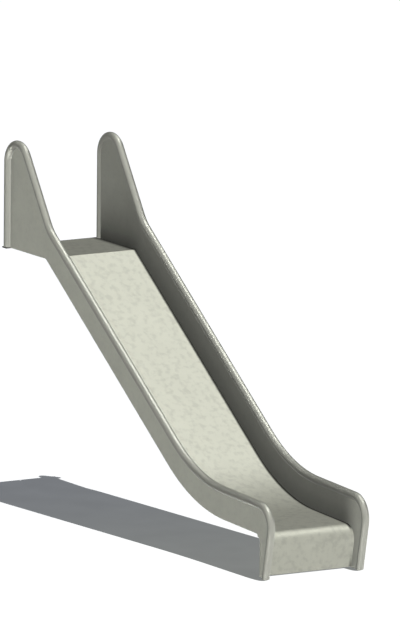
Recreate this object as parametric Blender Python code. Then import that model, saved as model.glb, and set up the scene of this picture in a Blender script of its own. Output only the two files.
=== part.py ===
"""Playground slide of sheet steel that hangs on a platform, with a round rail along both side walls.

Metres, +Z up, +X down the slide, Y = 0 on the plane of symmetry. The origin is the middle of the mounting
flange's underside, which lies on the platform. Left and right are as seen from the foot of the slide, so the
left wall is at -Y.
"""

import math

import bmesh
import bpy
from mathutils import Vector

# Driving dimensions
PLATFORM_HEIGHT = 1.195      # the mounting flange's underside above the ground
INNER_WIDTH = 0.500          # between the inner faces of the side walls
SHEET = 0.003                # thickness of every sheet
RAIL_RADIUS = 0.019          # tube of 38 mm along the walls' edges
RAIL_SETBACK = 0.0095        # the tube's centre lies this far outside the wall's inner face
WALL_HEIGHT = 0.146          # from the bed to the rail's centre, square to the bed
GAP = 0.0003                 # between pieces that touch

# Mounting flange
FLANGE_DEPTH = 0.040
FLANGE_WIDTH = 0.532
FLANGE_THICKNESS = 0.006
FLANGE_HOLE_RADIUS = 0.0055
FLANGE_HOLE_X = -0.010
FLANGE_HOLE_Y = (-0.200, -0.070, 0.070, 0.200)

# Side view, headings in degrees above +X
DECK_START_X = 0.001
BED_START_X = 0.376
BED_HEADING = -34.7
RUNOUT_HEADING = -2.5
FRONT_HEADING = -101.5
BED_LENGTH = 1.422           # straight part of the bed, from the deck's edge
CURVE_RADIUS = 0.993         # run-out curve of the bed
RUNOUT_LENGTH = 0.293
NOSE_RADIUS = 0.070
APRON_CLEARANCE = 0.003      # between the apron's lower edge and the ground

# Rail
POST_X = 0.020               # the upright rail at the rear of each ear
POST_TOP = 0.4255
EAR_RADIUS = 0.099
EAR_HEADING = -55.8
EAR_EDGE_LENGTH = 0.360      # sloping edge of the ear
NECK_RADIUS = 0.235
RAIL_RUNOUT_LENGTH = 0.343
FRONT_RADIUS = 0.101

# Where the side walls are joined, and the leg
EAR_SHEET_OVERRUN = 0.060    # the ear's sheet ends this far below the neck
LEG_REAR_X = 2.396
LEG_CORNER_RADIUS = 0.022
LEG_JOINT_BEHIND = 0.030     # the leg's sheet starts this far behind its rear edge

# Fineness
RAIL_BEVEL_RESOLUTION = 8
DEGREES_PER_STEP = 6.0
HOLE_SIDES = 24
SHARP_ANGLE = 40.0           # edges that bend more than this stay sharp
MERGE_DISTANCE = 1e-6
CAP_LEAD = 0.004             # straight end of each bent rail, so that its cap is square

GROUND = -PLATFORM_HEIGHT
DECK_UNDERSIDE = FLANGE_THICKNESS + GAP
DECK_TOP = DECK_UNDERSIDE + SHEET
BED_WIDTH = INNER_WIDTH - 2 * GAP
RAIL_Y = INNER_WIDTH / 2 + RAIL_SETBACK
SHEET_Y = (INNER_WIDTH + SHEET) / 2
# A sheet's edge stands this far from the rail's centre, so that its outer corner just clears the tube.
EDGE_OFFSET = math.sqrt(RAIL_RADIUS**2 - (RAIL_SETBACK - SHEET) ** 2) + GAP


class Path:
    """A line of straight stretches and arcs in the side view, each kept as a list of (x, z) points."""

    def __init__(self, start, heading):
        self.point = Vector(start)
        self.heading = heading
        self.stretches = []

    def forward(self, length):
        """Adds a straight stretch of this length."""
        end = self.point + length * direction(self.heading)
        self.stretches.append([self.point, end])
        self.point = end

    def turn(self, radius, heading):
        """Adds an arc that ends at this heading."""
        side = 1 if heading > self.heading else -1
        centre = self.point + side * radius * direction(self.heading + 90)
        steps = max(2, round(abs(heading - self.heading) / DEGREES_PER_STEP))
        angles = [self.heading + (heading - self.heading) * i / steps for i in range(steps + 1)]
        self.stretches.append([centre - side * radius * direction(a + 90) for a in angles])
        self.point = self.stretches[-1][-1]
        self.heading = heading


def direction(heading):
    """Unit vector (x, z) of a heading in degrees."""
    angle = math.radians(heading)
    return Vector((math.cos(angle), math.sin(angle)))


def offset(points, first_heading, last_heading, distance):
    """The points moved by distance to the right of the way they run."""
    count = len(points) - 1
    moved = []
    for i, point in enumerate(points):
        heading = first_heading + (last_heading - first_heading) * i / count
        moved.append(point + distance * direction(heading - 90))
    return moved


def meeting_point(point_a, heading_a, point_b, heading_b):
    """Where two straight lines cross."""
    along_a, along_b = direction(heading_a), direction(heading_b)
    apart = point_b - point_a
    length = apart.cross(along_b) / along_a.cross(along_b)
    return point_a + length * along_a


def at_height(point, heading, height):
    """Where the line through the point crosses this height."""
    return meeting_point(point, heading, Vector((0, height)), 0)


def steel(name, colour, roughness):
    """Material of a kind of piece."""
    material = bpy.data.materials.new(name)
    material.use_nodes = True
    shader = material.node_tree.nodes["Principled BSDF"]
    shader.inputs["Base Color"].default_value = (*colour, 1)
    shader.inputs["Metallic"].default_value = 1
    shader.inputs["Roughness"].default_value = roughness
    return material


def add_object(name, data, material, location=(0, 0, 0), rotation=(0, 0, 0)):
    piece = bpy.data.objects.new(name, data)
    piece.location = location
    piece.rotation_euler = rotation
    data.materials.append(material)
    collection.objects.link(piece)
    return piece


def add_outline(curve, points):
    spline = curve.splines.new("POLY")
    spline.points.add(len(points) - 1)
    for i, (x, y) in enumerate(points):
        spline.points[i].co = (x, y, 0, 1)
    spline.use_cyclic_u = True


def flat_piece(name, outlines, thickness, material, location=(0, 0, 0), rotation=(0, 0, 0)):
    """A sheet cut to an outline. Any further outlines are holes in it."""
    curve = bpy.data.curves.new(name, "CURVE")
    curve.dimensions = "2D"
    curve.fill_mode = "BOTH"
    curve.extrude = thickness / 2
    for points in outlines:
        add_outline(curve, points)
    return add_object(name, curve, material, location, rotation)


def upright_piece(name, outline, y, thickness, material):
    """A piece with the same outline (x, z) all along its thickness in Y."""
    return flat_piece(name, [outline], thickness, material, (0, y, 0), (math.radians(90), 0, 0))


def rail_piece(name, points, y, material):
    """A round rail through the points (x, z)."""
    curve = bpy.data.curves.new(name, "CURVE")
    curve.dimensions = "3D"
    curve.bevel_depth = RAIL_RADIUS
    curve.bevel_resolution = RAIL_BEVEL_RESOLUTION
    curve.use_fill_caps = True
    spline = curve.splines.new("POLY")
    spline.points.add(len(points) - 1)
    for i, (x, z) in enumerate(points):
        spline.points[i].co = (x, 0, z, 1)
    spline.use_smooth = True
    return add_object(name, curve, material, (0, y, 0))


def cut_level(piece, height):
    """Turns a rail into a mesh and cuts it off level at this height."""
    bpy.context.view_layer.update()
    evaluated = piece.evaluated_get(bpy.context.evaluated_depsgraph_get())
    mesh = bpy.data.meshes.new_from_object(evaluated)
    shape = bmesh.new()
    shape.from_mesh(mesh)
    bmesh.ops.remove_doubles(shape, verts=shape.verts, dist=MERGE_DISTANCE)
    everything = shape.verts[:] + shape.edges[:] + shape.faces[:]
    cut = bmesh.ops.bisect_plane(
        shape, geom=everything, plane_co=(0, 0, height), plane_no=(0, 0, -1), clear_outer=True
    )
    rim = [item for item in cut["geom_cut"] if isinstance(item, bmesh.types.BMEdge)]
    bmesh.ops.edgeloop_fill(shape, edges=rim)
    bmesh.ops.recalc_face_normals(shape, faces=shape.faces)
    shape.to_mesh(mesh)
    shape.free()
    mesh.set_sharp_from_angle(angle=math.radians(SHARP_ANGLE))
    name, place = piece.name, piece.matrix_world.copy()
    old_curve = piece.data
    bpy.data.objects.remove(piece)
    bpy.data.curves.remove(old_curve)
    made = bpy.data.objects.new(name, mesh)
    made.matrix_world = place
    collection.objects.link(made)
    return made


def squared_ends(points, first_heading, last_heading):
    """A bend's points with a short straight lead at both ends."""
    start = points[0] - CAP_LEAD * direction(first_heading)
    end = points[-1] + CAP_LEAD * direction(last_heading)
    return [start, *points, end]


def shortened(points, at_start, at_end):
    """A straight stretch shortened at its two ends."""
    along = (points[1] - points[0]).normalized()
    return [points[0] + at_start * along, points[1] - at_end * along]


def plan_bed():
    """The upper surface of the deck, bed, curve, run-out and nose, as a path."""
    bed = Path((BED_START_X, DECK_TOP), BED_HEADING)
    bed.forward(BED_LENGTH)
    bed.turn(CURVE_RADIUS, RUNOUT_HEADING)
    bed.forward(RUNOUT_LENGTH)
    bed.turn(NOSE_RADIUS, FRONT_HEADING)
    return bed


def plan_rail(bed):
    """The centre line of the rail. Its slope and curve keep one distance from the bed."""
    curve_start = bed.stretches[0][1] - WALL_HEIGHT * direction(BED_HEADING - 90)
    rail = Path((POST_X, DECK_TOP + GAP), 90)
    rail.forward(POST_TOP - DECK_TOP - GAP)
    rail.turn(EAR_RADIUS, EAR_HEADING)
    rail.forward(EAR_EDGE_LENGTH)
    rail.turn(NECK_RADIUS, BED_HEADING)
    rail.forward((curve_start - rail.point).dot(direction(BED_HEADING)))
    rail.turn(CURVE_RADIUS - WALL_HEIGHT, RUNOUT_HEADING)
    rail.forward(RAIL_RUNOUT_LENGTH)
    rail.turn(FRONT_RADIUS, FRONT_HEADING)
    rail.forward((rail.point.y - GROUND) / -math.sin(math.radians(FRONT_HEADING)))
    return rail


def make_rails(rail, side, y, material):
    """The nine lengths of rail along one wall."""
    post, ear_bend, ear_edge, neck, slope, curve, runout, front_bend, leg = rail.stretches
    lead = CAP_LEAD + GAP
    rail_piece(f"{side}_rail_post", shortened(post, 0, lead), y, material)
    rail_piece(f"{side}_rail_ear_bend", squared_ends(ear_bend, 90, EAR_HEADING), y, material)
    rail_piece(f"{side}_rail_ear_edge", shortened(ear_edge, lead, lead), y, material)
    rail_piece(f"{side}_rail_neck", squared_ends(neck, EAR_HEADING, BED_HEADING), y, material)
    rail_piece(f"{side}_rail_slope", shortened(slope, lead, lead), y, material)
    rail_piece(f"{side}_rail_curve", squared_ends(curve, BED_HEADING, RUNOUT_HEADING), y, material)
    rail_piece(f"{side}_rail_runout", shortened(runout, lead, lead), y, material)
    front = squared_ends(front_bend, RUNOUT_HEADING, FRONT_HEADING)
    rail_piece(f"{side}_rail_front_bend", front, y, material)
    overshoot = -2 * RAIL_RADIUS
    foot = rail_piece(f"{side}_rail_leg", shortened(leg, lead, overshoot), y, material)
    cut_level(foot, GROUND)


def make_walls(rail, bed, side, y, material):
    """The four sheets of one wall, which fill the space between the rail and the bed's underside."""
    _, ear_bend, _, neck, slope, curve, _, front_bend, _ = rail.stretches
    lower_bed = offset(bed.stretches[0], BED_HEADING, BED_HEADING, SHEET)
    lower_curve = offset(bed.stretches[1], BED_HEADING, RUNOUT_HEADING, SHEET)
    lower_bend = meeting_point(Vector((0, DECK_UNDERSIDE)), 0, lower_bed[0], BED_HEADING)

    # The ear ends square to the bed, a little below the neck.
    upper_cut = offset([neck[-1] + EAR_SHEET_OVERRUN * direction(BED_HEADING)] * 2,
                       BED_HEADING, BED_HEADING, EDGE_OFFSET)[0]
    lower_cut = meeting_point(upper_cut, BED_HEADING - 90, lower_bed[0], BED_HEADING)
    ear = [Vector((POST_X + EDGE_OFFSET, DECK_UNDERSIDE))]
    ear += offset(ear_bend, 90, EAR_HEADING, EDGE_OFFSET)
    ear += offset(neck, EAR_HEADING, BED_HEADING, EDGE_OFFSET)
    ear += [upper_cut, lower_cut, lower_bend]
    upright_piece(f"{side}_wall_ear", ear, y, SHEET, material)

    # The slope's sheet runs from the ear to the start of the curve.
    step = GAP * direction(BED_HEADING)
    strip = [upper_cut + step, slope[-1] + EDGE_OFFSET * direction(BED_HEADING - 90) - step,
             lower_bed[1] - step, lower_cut + step]
    upright_piece(f"{side}_wall_slope", strip, y, SHEET, material)

    # The run-out's sheet ends upright, just behind the leg.
    joint_x = LEG_REAR_X - LEG_JOINT_BEHIND
    lower_end = meeting_point(lower_curve[-1], RUNOUT_HEADING, Vector((joint_x, 0)), 90)
    upper_curve = offset(curve, BED_HEADING, RUNOUT_HEADING, EDGE_OFFSET)
    upper_end = meeting_point(upper_curve[-1], RUNOUT_HEADING, Vector((joint_x, 0)), 90)
    upright_piece(f"{side}_wall_runout", [*upper_curve, upper_end, lower_end, *reversed(lower_curve)],
                  y, SHEET, material)

    # The leg reaches the ground, with a rounded corner under the run-out.
    step = Vector((GAP, 0))
    front = offset(front_bend, RUNOUT_HEADING, FRONT_HEADING, EDGE_OFFSET)
    front_foot = at_height(front[-1], FRONT_HEADING, GROUND)
    corner = meeting_point(lower_curve[-1], RUNOUT_HEADING, Vector((LEG_REAR_X, 0)), 90)
    reach = LEG_CORNER_RADIUS * math.tan(math.radians((90 + RUNOUT_HEADING) / 2))
    rounding = Path(corner + Vector((0, -reach)), 90)
    rounding.turn(LEG_CORNER_RADIUS, 180 + RUNOUT_HEADING)
    upright_piece(f"{side}_wall_leg",
                  [upper_end + step, *front, front_foot, Vector((LEG_REAR_X, GROUND)),
                   *rounding.stretches[0], lower_end + step],
                  y, SHEET, material)


def sheet_between(name, upper, lower, material):
    """A sheet across the slide, with these upper and lower lines in the side view."""
    upright_piece(name, [*upper, *reversed(lower)], 0, BED_WIDTH, material)


def make_bed(bed, materials):
    """Deck, bed, curve, run-out, nose and apron, which fill the width between the walls."""
    straight, curve, runout, nose = bed.stretches
    half_gap = GAP / 2
    mitre = BED_HEADING / 2 - 90
    edge_top = Vector((BED_START_X, DECK_TOP))
    edge_low = meeting_point(edge_top, mitre, Vector((0, DECK_UNDERSIDE)), 0)
    back = Vector((-half_gap, 0))
    sheet_between("start_deck", [Vector((DECK_START_X, DECK_TOP)), edge_top + back],
                  [Vector((DECK_START_X, DECK_UNDERSIDE)), edge_low + back], materials["deck"])

    down = GAP * direction(BED_HEADING)
    low_bed = offset(straight, BED_HEADING, BED_HEADING, SHEET)
    sheet_between("sliding_bed", [edge_top + down / 2, straight[1] - down],
                  [edge_low + down / 2, low_bed[1] - down], materials["bed"])
    sheet_between("bed_curve", curve, offset(curve, BED_HEADING, RUNOUT_HEADING, SHEET), materials["bed"])

    along = GAP * direction(RUNOUT_HEADING)
    flat = [runout[0] + along, runout[1] - along]
    sheet_between("runout_bed", flat, offset(flat, RUNOUT_HEADING, RUNOUT_HEADING, SHEET), materials["bed"])
    sheet_between("runout_nose", nose, offset(nose, RUNOUT_HEADING, FRONT_HEADING, SHEET), materials["bed"])

    top = nose[-1] + GAP * direction(FRONT_HEADING)
    foot = at_height(top, FRONT_HEADING, GROUND + APRON_CLEARANCE)
    inner_top = top + SHEET * direction(FRONT_HEADING - 90)
    inner_foot = at_height(inner_top, FRONT_HEADING, GROUND + APRON_CLEARANCE)
    sheet_between("front_apron", [top, foot], [inner_top, inner_foot], materials["bed"])


def make_flange(material):
    """The strip under the deck's rear edge that is screwed down on the platform."""
    half_depth, half_width = FLANGE_DEPTH / 2, FLANGE_WIDTH / 2
    outline = [(-half_depth, -half_width), (half_depth, -half_width),
               (half_depth, half_width), (-half_depth, half_width)]
    circle = [FLANGE_HOLE_RADIUS * direction(360 * i / HOLE_SIDES) for i in range(HOLE_SIDES)]
    holes = [[(FLANGE_HOLE_X + x, hole_y + y) for x, y in circle] for hole_y in FLANGE_HOLE_Y]
    flat_piece("mounting_flange", [outline, *holes], FLANGE_THICKNESS, material, (0, 0, FLANGE_THICKNESS / 2))


for old in list(bpy.data.objects):
    bpy.data.objects.remove(old)
collection = bpy.data.collections.new("playground_slide")
bpy.context.scene.collection.children.link(collection)

wall_steel = steel("wall_steel", (0.55, 0.56, 0.52), 0.35)
rail_steel = steel("rail_steel", (0.66, 0.67, 0.63), 0.25)
flange_steel = steel("flange_steel", (0.30, 0.30, 0.29), 0.50)
bed_steels = {
    "deck": steel("deck_steel", (0.58, 0.59, 0.55), 0.30),
    "bed": steel("bed_steel", (0.68, 0.69, 0.64), 0.28),
}

bed_line = plan_bed()
rail_line = plan_rail(bed_line)
make_flange(flange_steel)
make_bed(bed_line, bed_steels)
for side_name, sign in (("left", -1), ("right", 1)):
    make_rails(rail_line, side_name, sign * RAIL_Y, rail_steel)
    make_walls(rail_line, bed_line, side_name, sign * SHEET_Y, wall_steel)
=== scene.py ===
"""Playground slide of sheet steel on a pale floor: the looks that go over the fixed CAD frame."""

import math

import bmesh
import bpy
from mathutils import Matrix, Vector
from mathutils.geometry import tessellate_polygon


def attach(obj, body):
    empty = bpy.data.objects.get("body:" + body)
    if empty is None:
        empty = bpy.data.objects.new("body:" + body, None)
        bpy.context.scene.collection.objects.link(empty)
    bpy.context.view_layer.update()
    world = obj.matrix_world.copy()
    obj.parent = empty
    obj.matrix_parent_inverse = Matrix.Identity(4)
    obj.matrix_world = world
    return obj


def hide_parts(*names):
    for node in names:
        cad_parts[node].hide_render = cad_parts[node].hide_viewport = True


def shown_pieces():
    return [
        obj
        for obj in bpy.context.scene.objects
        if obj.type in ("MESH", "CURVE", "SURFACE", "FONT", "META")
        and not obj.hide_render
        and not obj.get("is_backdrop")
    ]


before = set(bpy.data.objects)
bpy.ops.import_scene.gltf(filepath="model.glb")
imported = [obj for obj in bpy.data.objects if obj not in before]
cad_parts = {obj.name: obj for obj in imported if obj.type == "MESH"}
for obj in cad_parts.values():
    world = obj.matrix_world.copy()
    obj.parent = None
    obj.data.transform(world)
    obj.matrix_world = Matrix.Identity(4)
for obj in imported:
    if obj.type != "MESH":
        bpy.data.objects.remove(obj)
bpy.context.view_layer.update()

# Dimensions of the CAD part, in metres
PLATFORM_HEIGHT = 1.195
INNER_WIDTH = 0.500
SHEET = 0.003
RAIL_RADIUS = 0.019
RAIL_SETBACK = 0.0095
WALL_HEIGHT = 0.146
GAP = 0.0003
FLANGE_THICKNESS = 0.006
DECK_START_X = 0.001
BED_START_X = 0.376
BED_HEADING = -34.7
RUNOUT_HEADING = -2.5
FRONT_HEADING = -101.5
BED_LENGTH = 1.422
CURVE_RADIUS = 0.993
RUNOUT_LENGTH = 0.293
NOSE_RADIUS = 0.070
APRON_CLEARANCE = 0.003
POST_X = 0.020
POST_TOP = 0.4255
EAR_RADIUS = 0.099
EAR_HEADING = -55.8
EAR_EDGE_LENGTH = 0.360
NECK_RADIUS = 0.235
RAIL_RUNOUT_LENGTH = 0.343
FRONT_RADIUS = 0.101
LEG_REAR_X = 2.396
LEG_CORNER_RADIUS = 0.022

GROUND = -PLATFORM_HEIGHT
DECK_UNDERSIDE = FLANGE_THICKNESS + GAP
DECK_TOP = DECK_UNDERSIDE + SHEET
RAIL_Y = INNER_WIDTH / 2 + RAIL_SETBACK
SHEET_Y = (INNER_WIDTH + SHEET) / 2

# Looks
DECK_BEND_RADIUS = 0.006
INNER_WELD_RADIUS = 0.004    # fillets between the rail and the wall's sheet
OUTER_WELD_RADIUS = 0.004
RAIL_SIDES = 40
WELD_STEPS = 8
DEGREES_PER_STEP = 2.5
STRAIGHT_STEP = 0.05
FEWEST_ARC_STEPS = 4
LEG_CORNER_STEPS = 8
LEG_CORNER_TOLERANCE = 0.001
SMOOTH_ANGLE = 40            # sharper edges than this stay sharp on rails and walls
BED_SMOOTH_ANGLE = 30
WHITE = (1, 1, 1, 1)

# Steel: unevenness made by noise. A smudge or cloud fades out between its two noise values.
NOISE_DETAIL = 3
SMUDGE_START = 0.33
SMUDGE_END = 0.52
CLOUD_SCALE = 9
CLOUD_ROUGHNESS = 0.55
CLOUD_START = 0.30
CLOUD_END = 0.70
GLOSS_SCALE = 25
GLOSS_SPREAD = 0.02

# Painted shade in the corner between the bed and each wall, as distances from the plane of symmetry
CORNER_SHADE_START = 0.231
CORNER_SHADE_END = 0.244
DECK_SHADE_START = 0.207
DECK_SHADE_END = 0.251
CORNER_SHADE_GREY = 0.07
# Painted shade: the whole start deck is darkened against the sliding bed.
DECK_SHADE_GREY = 0.86             # the start deck against the sliding bed
CORNER_SHADE_LAST_X = 2.42           # the corner's dark line ends above the nose
CORNER_SHADE_FADE = 0.03

# Shades of a wall's inner face beside the bed and beside the deck, as (height above it in metres, grey)
BED_SIDE_SHADES = ((0, 0.41), (0.02, 0.44), (0.035, 0.48), (0.05, 0.51), (0.08, 0.59), (0.12, 0.65))
DECK_SIDE_SHADES = ((0, 0.23), (0.03, 0.33), (0.06, 0.45), (0.10, 0.56), (0.15, 0.65), (0.20, 0.72),
                    (0.30, 0.79))
DECK_SIDE_START = 0.30       # the deck's shades turn into the bed's between these two
DECK_SIDE_END = 0.45
LEG_LIGHT_START = 2.31       # between these two, beside the nose, the inner face loses its shade
LEG_LIGHT_END = 2.46
CURVE_BLEND = 0.233          # rounds the distance from the bed along the run-out curve

# Floor: its glow changes from rear to front between these two, and noise makes it patchy
FLOOR_HALF_SIZE = 600
FLOOR_GREY = 0.90
GLOW_START_X = -0.4
GLOW_END_X = 2.4
REAR_GLOW = (0.195, 0.206, 0.222, 1)
FRONT_GLOW = (0.228, 0.238, 0.232, 1)
PATCH_SCALE = 5
PATCH_GREY = 0.93
PATCH_START = 0.3
PATCH_END = 0.7

# Way to the sun that throws the shadow on the floor, from the shadow's slant in the photograph
SUN_AZIMUTH = 32.0
SUN_ELEVATION = 79.4
FLOOR_SUN_STRENGTH = 3.0
FLOOR_SUN_WIDTH = 0.3

# Lamps high above the slide: name, azimuth, elevation, strength, width
HIGH_LAMPS = (
    ("key", SUN_AZIMUTH, SUN_ELEVATION, 0.907, 5),
    ("top_right", 103, 58, 0.447, 20),
    ("top_rear", 193, 60, 0.228, 40),
)
# Soft light from all round, as rings of wide lamps: elevation, width, then the strengths in equal steps of
# azimuth. Each ring starts at the same azimuth.
RING_START = 31
RINGS = (
    (30, 45, (0.462, 0, 0, 0, 0.128, 0.270, 0.450, 0.278)),
    (-12, 45, (0.400, 0.410, 0.400, 0.450, 0, 0.250, 0.145, 0.300)),
    (-55, 60, (0.421, 0.560, 0.400, 1.100)),
)
# Only the lamps at these elevations and azimuths cast a shadow on the slide. The others reach the apron's
# corner beside the right leg, and the right wall's inner face across the left wall.
SHADOWED = ((30, 211), (-55, 121), (-55, 211), (-55, 301))

# Camera: a very long lens, because the photograph's view has no vanishing
AZIMUTH = 30.811
ELEVATION = 10.505
ROLL = 0.514
PIXELS_PER_METRE = 209.82
IMAGE_HEIGHT = 636
LENS = 1050.0
SENSOR = 36.0
CLIP_START = 1
CLIP_END = 400
AIM = Vector((1.4029, 0.0, -0.1363))


class Path:
    """A line of straight stretches and arcs in the side view, kept as (x, z) points with a heading each."""

    def __init__(self, start, heading):
        self.point = Vector(start)
        self.heading = heading
        self.points = [self.point]
        self.headings = [heading]

    def forward(self, length):
        """Adds a straight stretch of this length."""
        steps = max(1, round(length / STRAIGHT_STEP))
        start = self.point
        for i in range(1, steps + 1):
            self.points.append(start + length * i / steps * direction(self.heading))
            self.headings.append(self.heading)
        self.point = self.points[-1]

    def turn(self, radius, heading):
        """Adds an arc that ends at this heading."""
        side = 1 if heading > self.heading else -1
        centre = self.point + side * radius * direction(self.heading + 90)
        steps = max(FEWEST_ARC_STEPS, round(abs(heading - self.heading) / DEGREES_PER_STEP))
        for i in range(1, steps + 1):
            angle = self.heading + (heading - self.heading) * i / steps
            self.points.append(centre - side * radius * direction(angle + 90))
            self.headings.append(angle)
        self.point = self.points[-1]
        self.heading = heading

    def beside(self, distance):
        """The points moved by distance to the right of the way they run."""
        return [p + distance * direction(h - 90) for p, h in zip(self.points, self.headings)]


def direction(heading):
    """Unit vector (x, z) of a heading in degrees."""
    angle = math.radians(heading)
    return Vector((math.cos(angle), math.sin(angle)))


def add_mesh(name, points, faces, material, smooth_angle):
    """A mesh piece that rides with the slide."""
    mesh = bpy.data.meshes.new(name)
    mesh.from_pydata([tuple(p) for p in points], [], faces)
    shape = bmesh.new()
    shape.from_mesh(mesh)
    bmesh.ops.recalc_face_normals(shape, faces=shape.faces)
    shape.to_mesh(mesh)
    shape.free()
    mesh.materials.append(material)
    mesh.shade_smooth()
    mesh.set_sharp_from_angle(angle=math.radians(smooth_angle))
    piece = bpy.data.objects.new(name, mesh)
    bpy.context.scene.collection.objects.link(piece)
    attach(piece, "root")
    return piece


def bed_path():
    """The upper surface from the deck's rear edge to the apron's foot."""
    reach = DECK_BEND_RADIUS * math.tan(math.radians(-BED_HEADING / 2))
    path = Path((DECK_START_X, DECK_TOP), 0)
    path.forward(BED_START_X - DECK_START_X - reach)
    path.turn(DECK_BEND_RADIUS, BED_HEADING)
    path.forward(BED_LENGTH - reach)
    path.turn(CURVE_RADIUS, RUNOUT_HEADING)
    path.forward(RUNOUT_LENGTH)
    path.turn(NOSE_RADIUS, FRONT_HEADING)
    drop = path.point.y - GROUND - APRON_CLEARANCE
    path.forward(drop / -math.sin(math.radians(FRONT_HEADING)))
    return path


def rail_path():
    """The centre line of the rail, from the deck up round the ear and down to the ground."""
    slope_end = Vector((BED_START_X, DECK_TOP)) + BED_LENGTH * direction(BED_HEADING)
    curve_start = slope_end - WALL_HEIGHT * direction(BED_HEADING - 90)
    path = Path((POST_X, DECK_TOP + GAP), 90)
    path.forward(POST_TOP - DECK_TOP - GAP)
    path.turn(EAR_RADIUS, EAR_HEADING)
    path.forward(EAR_EDGE_LENGTH)
    path.turn(NECK_RADIUS, BED_HEADING)
    path.forward((curve_start - path.point).dot(direction(BED_HEADING)))
    path.turn(CURVE_RADIUS - WALL_HEIGHT, RUNOUT_HEADING)
    path.forward(RAIL_RUNOUT_LENGTH)
    path.turn(FRONT_RADIUS, FRONT_HEADING)
    path.forward((path.point.y - GROUND) / -math.sin(math.radians(FRONT_HEADING)))
    return path


def arc(centre, radius, first, last, steps):
    """Points on an arc between two angles in degrees."""
    angles = [math.radians(first + (last - first) * i / steps) for i in range(steps + 1)]
    return [Vector((centre[0] + radius * math.cos(a), centre[1] + radius * math.sin(a))) for a in angles]


def weld_centre(face, radius, side):
    """Middle of a fillet that touches both the tube and this face of the sheet."""
    across = face + side * radius
    return Vector((across, -math.sqrt((RAIL_RADIUS + radius) ** 2 - across**2)))


def rail_section():
    """Outline of the tube with its two weld fillets, as (outwards from the slide, away from the sheet)."""
    inner_centre = weld_centre(-RAIL_SETBACK, INNER_WELD_RADIUS, -1)
    outer_centre = weld_centre(SHEET - RAIL_SETBACK, OUTER_WELD_RADIUS, 1)
    inner_angle = math.degrees(math.atan2(inner_centre.y, inner_centre.x))
    outer_angle = math.degrees(math.atan2(outer_centre.y, outer_centre.x))
    round_part = arc((0, 0), RAIL_RADIUS, outer_angle, inner_angle + 360, RAIL_SIDES)
    inner_weld = arc(inner_centre, INNER_WELD_RADIUS, inner_angle + 180, 0, WELD_STEPS)[1:]
    outer_weld = arc(outer_centre, OUTER_WELD_RADIUS, 180, outer_angle + 180, WELD_STEPS)[:-1]
    return [*round_part, *inner_weld, *outer_weld]


def make_rail(path, side, sign, material):
    """One tube along the whole wall, with its weld, cut off level at the ground."""
    section = rail_section()
    count = len(section)
    points = []
    for point, heading in zip(path.points, path.headings):
        outwards = direction(heading + 90)
        for across, away in section:
            spot = point + away * outwards
            points.append([spot.x, sign * (RAIL_Y + across), spot.y])
    # The last ring slides along the rail until it lies on the ground.
    along = direction(FRONT_HEADING)
    for i in range(len(points) - count, len(points)):
        travel = (GROUND - points[i][2]) / along.y
        points[i][0] += travel * along.x
        points[i][2] = GROUND
    faces = []
    for ring in range(len(path.points) - 1):
        for i in range(count):
            j = (i + 1) % count
            near, far = ring * count, (ring + 1) * count
            faces.append((near + i, near + j, far + j, far + i))
    faces.append(tuple(range(count)))
    faces.append(tuple(range(len(points) - count, len(points))))
    piece = add_mesh(f"{side}_rail", points, faces, material, SMOOTH_ANGLE)
    lengths = ("post", "ear_bend", "ear_edge", "neck", "slope", "curve", "runout", "front_bend", "leg")
    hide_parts(*[f"{side}_rail_{length}" for length in lengths])


def add_plate(name, outline, y_low, y_high, material):
    """A flat sheet with this outline (x, z) between two planes of Y."""
    count = len(outline)
    points = [(x, y_low, z) for x, z in outline] + [(x, y_high, z) for x, z in outline]
    cap = tessellate_polygon([[Vector((x, z, 0)) for x, z in outline]])
    faces = [tuple(triangle) for triangle in cap]
    faces += [tuple(i + count for i in triangle) for triangle in cap]
    faces += [(i, (i + 1) % count, (i + 1) % count + count, i + count) for i in range(count)]
    return add_mesh(name, points, faces, material, SMOOTH_ANGLE)


def make_wall(rail, bed, side, sign, material):
    """One sheet between the rail and the bed's underside, which reaches the ground at the leg."""
    # Its edge goes a little way into the weld.
    upper = rail.beside(RAIL_RADIUS - GAP)
    lower = bed.beside(SHEET)
    rear_x = POST_X + RAIL_RADIUS - GAP
    corner_z = interpolate(lower, LEG_REAR_X)
    corner_centre = (LEG_REAR_X - LEG_CORNER_RADIUS, corner_z - LEG_CORNER_RADIUS)
    rounding = arc(corner_centre, LEG_CORNER_RADIUS, 0, 90, LEG_CORNER_STEPS)
    lowest = corner_z - LEG_CORNER_TOLERANCE
    under = [p for p in lower if rear_x < p.x < rounding[-1].x and p.y > lowest]
    outline = [Vector((rear_x, DECK_UNDERSIDE))]
    outline += upper[1:-1]
    foot = upper[-1]
    slant = direction(FRONT_HEADING)
    outline.append(foot + (GROUND - foot.y) / slant.y * slant)
    outline.append(Vector((LEG_REAR_X, GROUND)))
    outline += rounding
    outline += reversed(under)
    inner, outer = sign * INNER_WIDTH / 2, sign * (INNER_WIDTH / 2 + SHEET)
    piece = add_plate(f"{side}_wall", outline, min(inner, outer), max(inner, outer), material)
    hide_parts(*[f"{side}_wall_{sheet}" for sheet in ("ear", "slope", "runout", "leg")])


def interpolate(points, x):
    """Height of a line of points at this x."""
    for a, b in zip(points, points[1:]):
        if a.x <= x <= b.x:
            return a.y + (b.y - a.y) * (x - a.x) / (b.x - a.x)
    return points[-1].y


def make_bed(path, material):
    """One sheet from the deck's rear edge to the apron's foot."""
    outline = [*path.points, *reversed(path.beside(SHEET))]
    half = INNER_WIDTH / 2
    count = len(path.points)
    size = len(outline)
    points = [(x, y, z) for y in (-half, half) for x, z in outline]
    faces = [(i, i + 1, size + i + 1, size + i) for i in range(size - 1)]
    faces.append((size - 1, 0, size, 2 * size - 1))
    for side in (0, size):
        last = side + size - 1
        faces += [(side + i, side + i + 1, last - 1 - i, last - i) for i in range(count - 1)]
    piece = add_mesh("bed", points, faces, material, BED_SMOOTH_ANGLE)
    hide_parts("start_deck", "sliding_bed", "bed_curve", "runout_bed", "runout_nose", "front_apron")


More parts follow.
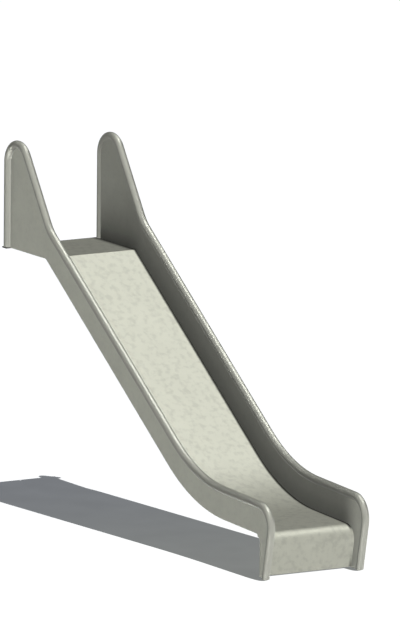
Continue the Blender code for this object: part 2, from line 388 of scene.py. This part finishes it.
def noise(tree, scale, roughness=0.5):
    """Noise in the object's own coordinates."""
    coordinates = tree.nodes.new("ShaderNodeTexCoord")
    texture = tree.nodes.new("ShaderNodeTexNoise")
    texture.inputs["Scale"].default_value = scale
    texture.inputs["Detail"].default_value = NOISE_DETAIL
    texture.inputs["Roughness"].default_value = roughness
    tree.links.new(coordinates.outputs["Object"], texture.inputs["Vector"])
    return texture.outputs[0]


def multiply(tree, first, second):
    """Product of two colours."""
    node = tree.nodes.new("ShaderNodeMix")
    node.data_type = "RGBA"
    node.blend_type = "MULTIPLY"
    node.inputs["Factor"].default_value = 1
    tree.links.new(first, node.inputs["A"])
    tree.links.new(second, node.inputs["B"])
    return node.outputs["Result"]


def blend(tree, factor, first, second):
    """The first colour where factor is 0 and the second where it is 1. Each is a colour or an output."""
    node = tree.nodes.new("ShaderNodeMix")
    node.data_type = "RGBA"
    tree.links.new(factor, node.inputs["Factor"])
    for socket, colour in (("A", first), ("B", second)):
        if isinstance(colour, tuple):
            node.inputs[socket].default_value = colour
        else:
            tree.links.new(colour, node.inputs[socket])
    return node.outputs["Result"]


def calculate(tree, operation, *values):
    """A Math node. Each value is a number or another node's output."""
    node = tree.nodes.new("ShaderNodeMath")
    node.operation = operation
    for socket, value in zip(node.inputs, values):
        if isinstance(value, (int, float)):
            socket.default_value = value
        else:
            tree.links.new(value, socket)
    return node.outputs[0]


def place(tree):
    """Outputs for X, Y and Z in the object's own coordinates, which are the slide's."""
    coordinates = tree.nodes.new("ShaderNodeTexCoord")
    split = tree.nodes.new("ShaderNodeSeparateXYZ")
    tree.links.new(coordinates.outputs["Object"], split.inputs[0])
    return split.outputs


def rise(tree, value, low, high):
    """0 below low and 1 above high, with a smooth step between them."""
    node = tree.nodes.new("ShaderNodeMapRange")
    node.interpolation_type = "SMOOTHSTEP"
    node.inputs["From Min"].default_value = low
    node.inputs["From Max"].default_value = high
    tree.links.new(value, node.inputs["Value"])
    return node.outputs["Result"]


def painted_corner_shade(tree):
    """Painted shade: a dark line in the corner between the bed and the walls, wider on the start deck, and
    a darker tone painted on the whole start deck.
    """
    x, y, _ = place(tree)
    side = calculate(tree, "ABSOLUTE", y)
    corner_line = rise(tree, side, CORNER_SHADE_START, CORNER_SHADE_END)
    deck = rise(tree, side, DECK_SHADE_START, DECK_SHADE_END)
    on_deck = calculate(tree, "LESS_THAN", x, BED_START_X)
    on_nose = rise(tree, x, CORNER_SHADE_LAST_X - CORNER_SHADE_FADE, CORNER_SHADE_LAST_X)
    corner_line = calculate(tree, "MULTIPLY", corner_line, calculate(tree, "SUBTRACT", 1, on_nose))
    deck = calculate(tree, "MULTIPLY", deck, on_deck)
    corner = grey_ramp(tree, calculate(tree, "MAXIMUM", corner_line, deck), ((0, 1), (1, CORNER_SHADE_GREY)))
    return multiply(tree, corner, grey_ramp(tree, on_deck, ((0, 1), (1, DECK_SHADE_GREY))))


def foot_shade(tree):
    """Shade on a wall's inner face, which gets lighter with the height above the bed."""
    x, y, z = place(tree)
    above_deck = calculate(tree, "SUBTRACT", z, DECK_TOP)
    above_slope = above_line(tree, x, z, (BED_START_X, DECK_TOP), BED_HEADING)
    above_runout = above_line(tree, x, z, runout_start(), RUNOUT_HEADING)
    upper = calculate(tree, "MAXIMUM", above_deck, above_slope)
    height = calculate(tree, "SMOOTH_MIN", upper, above_runout, CURVE_BLEND)
    beside_deck = grey_ramp(tree, height, DECK_SIDE_SHADES)
    beside_bed = grey_ramp(tree, height, BED_SIDE_SHADES)
    shade = blend(tree, rise(tree, x, DECK_SIDE_START, DECK_SIDE_END), beside_deck, beside_bed)
    shade = blend(tree, rise(tree, x, LEG_LIGHT_START, LEG_LIGHT_END), shade, WHITE)
    inside = calculate(tree, "LESS_THAN", calculate(tree, "ABSOLUTE", y), SHEET_Y)
    return blend(tree, inside, WHITE, shade)


def runout_start():
    """Where the straight run-out begins on the bed's upper surface."""
    slope_end = Vector((BED_START_X, DECK_TOP)) + BED_LENGTH * direction(BED_HEADING)
    centre = slope_end + CURVE_RADIUS * direction(BED_HEADING + 90)
    return centre - CURVE_RADIUS * direction(RUNOUT_HEADING + 90)


def above_line(tree, x, z, start, heading):
    """Distance above the line that starts here and runs at this heading."""
    across = direction(heading + 90)
    sum_x = calculate(tree, "MULTIPLY", x, across.x)
    sum_z = calculate(tree, "MULTIPLY", z, across.y)
    total = calculate(tree, "ADD", sum_x, sum_z)
    return calculate(tree, "SUBTRACT", total, across.x * start[0] + across.y * start[1])


def grey_ramp(tree, value, stops):
    """Grey for a value from 0 to 1. Stops are (position, grey)."""
    node = tree.nodes.new("ShaderNodeValToRGB")
    while len(node.color_ramp.elements) < len(stops):
        node.color_ramp.elements.new(0.5)
    for element, (position, grey) in zip(node.color_ramp.elements, stops):
        element.position = position
        element.color = (grey, grey, grey, 1)
    tree.links.new(value, node.inputs[0])
    return node.outputs["Color"]


def steel(name, colour, roughness, smudges, clouds, smudge_scale, shade=None):
    """Satin steel with darker smudges, faint clouds and a slightly uneven gloss."""
    material = bpy.data.materials.new(name)
    material.use_nodes = True
    tree = material.node_tree
    shader = tree.nodes["Principled BSDF"]
    shader.inputs["Metallic"].default_value = 1
    base = tree.nodes.new("ShaderNodeRGB")
    base.outputs[0].default_value = (*colour, 1)
    smudge_stops = ((SMUDGE_START, 1 - smudges), (SMUDGE_END, 1))
    cloud_stops = ((CLOUD_START, 1 - clouds), (CLOUD_END, 1))
    smudge = grey_ramp(tree, noise(tree, smudge_scale), smudge_stops)
    cloud = grey_ramp(tree, noise(tree, CLOUD_SCALE, CLOUD_ROUGHNESS), cloud_stops)
    tinted = multiply(tree, base.outputs[0], smudge)
    tinted = multiply(tree, tinted, cloud)
    # The given shade function paints shade into the colour.
    if shade:
        tinted = multiply(tree, tinted, shade(tree))
    tree.links.new(tinted, shader.inputs["Base Color"])
    uneven = tree.nodes.new("ShaderNodeMapRange")
    uneven.inputs["To Min"].default_value = roughness - GLOSS_SPREAD
    uneven.inputs["To Max"].default_value = roughness + GLOSS_SPREAD
    tree.links.new(noise(tree, GLOSS_SCALE), uneven.inputs["Value"])
    tree.links.new(uneven.outputs["Result"], shader.inputs["Roughness"])
    return material


bed_line = bed_path()
rail_line = rail_path()
# The bed's colour carries painted shade: a dark line along the corners with the walls and a darker start
# deck.
bed_steel = steel("bed_satin_steel", (0.650, 0.657, 0.567), roughness=0.585, smudges=0.11, clouds=0.04,
                  smudge_scale=34, shade=painted_corner_shade)
# Painted light: the walls' steel is much lighter than the bed's and rails', standing in for light bounced
# onto the walls that the lamps don't give. foot_shade then paints shade on the inner faces.
wall_steel = steel("wall_satin_steel", (0.92, 0.934, 0.826), roughness=0.585, smudges=0.03, clouds=0.05,
                   smudge_scale=50, shade=foot_shade)
rail_steel = steel("rail_satin_steel", (0.625, 0.632, 0.560), roughness=0.53, smudges=0.02, clouds=0.03,
                   smudge_scale=60)
# Painted shade: the flange gets a nearly black colour for the shade it lies in under the deck's rear edge
# and the ears.
flange_shade_steel = steel("flange_shaded_steel", (0.16, 0.155, 0.145), roughness=0.60, smudges=0.10, clouds=0.05,
                     smudge_scale=60)
make_bed(bed_line, bed_steel)
for side_name, sign in (("left", -1), ("right", 1)):
    make_rail(rail_line, side_name, sign, rail_steel)
    make_wall(rail_line, bed_line, side_name, sign, wall_steel)
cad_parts["mounting_flange"].data.materials[0] = flange_shade_steel


def floor_material():
    """Pale floor. Its own faint glow fills the shadow, as light from all round would."""
    material = bpy.data.materials.new("pale_floor")
    material.use_nodes = True
    shader = material.node_tree.nodes["Principled BSDF"]
    shader.inputs["Base Color"].default_value = (FLOOR_GREY, FLOOR_GREY, FLOOR_GREY, 1)
    shader.inputs["Roughness"].default_value = 1
    shader.inputs["Specular IOR Level"].default_value = 0
    tree = material.node_tree
    x, _, _ = place(tree)
    glow = blend(tree, rise(tree, x, GLOW_START_X, GLOW_END_X), REAR_GLOW, FRONT_GLOW)
    patches = grey_ramp(tree, noise(tree, PATCH_SCALE), ((PATCH_START, PATCH_GREY), (PATCH_END, 1)))
    tree.links.new(multiply(tree, glow, patches), shader.inputs["Emission Color"])
    shader.inputs["Emission Strength"].default_value = 1
    return material


def make_floor(half_size):
    """A square floor at ground level."""
    mesh = bpy.data.meshes.new("floor")
    corners = [(-half_size, -half_size, GROUND), (half_size, -half_size, GROUND),
               (half_size, half_size, GROUND), (-half_size, half_size, GROUND)]
    mesh.from_pydata(corners, [], [(0, 1, 2, 3)])
    mesh.materials.append(floor_material())
    floor = bpy.data.objects.new("floor", mesh)
    bpy.context.scene.collection.objects.link(floor)
    floor.visible_glossy = False
    floor.visible_shadow = False
    floor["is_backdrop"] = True
    return floor


def lit_only(name, objects):
    """A collection that a lamp can be limited to."""
    group = bpy.data.collections.new(name)
    for item in objects:
        group.objects.link(item)
    return group


def add_lamp(name, azimuth, elevation, strength, angle, receivers, shadows):
    """A distant lamp that lights only the receivers. Azimuth is the way to it, in degrees from +X to +Y."""
    data = bpy.data.lights.new(name, "SUN")
    data.energy = strength
    data.angle = math.radians(angle)
    data.use_shadow = shadows
    # A reflection ray would pass through the slide, so it finds only the lamps that cast no shadow.
    data.cycles.use_multiple_importance_sampling = not shadows
    lamp = bpy.data.objects.new(name, data)
    a, e = math.radians(azimuth), math.radians(elevation)
    way = Vector((math.cos(a) * math.cos(e), math.sin(a) * math.cos(e), math.sin(e)))
    lamp.rotation_euler = way.to_track_quat("Z", "Y").to_euler()
    bpy.context.scene.collection.objects.link(lamp)
    lamp.light_linking.receiver_collection = receivers


floor = make_floor(FLOOR_HALF_SIZE)
slide_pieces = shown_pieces()
for piece in slide_pieces:
    piece.visible_glossy = False
    piece.visible_diffuse = False
slide_group = lit_only("slide_receivers", slide_pieces)
floor_group = lit_only("floor_receivers", [floor])

add_lamp("floor_sun", SUN_AZIMUTH, SUN_ELEVATION, FLOOR_SUN_STRENGTH, FLOOR_SUN_WIDTH, floor_group, True)
for name, azimuth, elevation, strength, width in HIGH_LAMPS:
    add_lamp(name, azimuth, elevation, strength, width, slide_group, False)
for elevation, width, strengths in RINGS:
    for i, strength in enumerate(strengths):
        azimuth = RING_START + 360 * i / len(strengths)
        shadows = (elevation, azimuth) in SHADOWED
        if strength:
            name = f"ring_{elevation}_{azimuth:.0f}"
            add_lamp(name, azimuth, elevation, strength, width, slide_group, shadows)


def towards_camera(azimuth, elevation):
    """Unit vector from the slide to the camera. Azimuth turns from the front of the slide's left side."""
    a, e = math.radians(azimuth), math.radians(elevation)
    return Vector((math.cos(a) * math.cos(e), -math.sin(a) * math.cos(e), math.sin(e)))


def make_camera():
    """The camera at the photograph's angle."""
    data = bpy.data.cameras.new("camera")
    data.lens = LENS
    data.sensor_width = SENSOR
    data.clip_start = CLIP_START
    data.clip_end = CLIP_END
    camera = bpy.data.objects.new("camera", data)
    bpy.context.scene.collection.objects.link(camera)
    back = towards_camera(AZIMUTH, ELEVATION)
    distance = IMAGE_HEIGHT * LENS / SENSOR / PIXELS_PER_METRE
    turn = (-back).to_track_quat("-Z", "Y").to_matrix() @ Matrix.Rotation(math.radians(ROLL), 3, "Z")
    camera.matrix_world = Matrix.Translation(AIM + distance * back) @ turn.to_4x4()
    bpy.context.scene.camera = camera


make_camera()

# The world is white behind the floor and gives no light of its own.
world = bpy.data.worlds.new("studio")
world.use_nodes = True
bpy.context.scene.world = world
background = world.node_tree.nodes["Background"]
background.inputs["Color"].default_value = WHITE
rays = world.node_tree.nodes.new("ShaderNodeLightPath")
world.node_tree.links.new(rays.outputs["Is Camera Ray"], background.inputs["Strength"])
bpy.context.scene.view_settings.view_transform = "Standard"
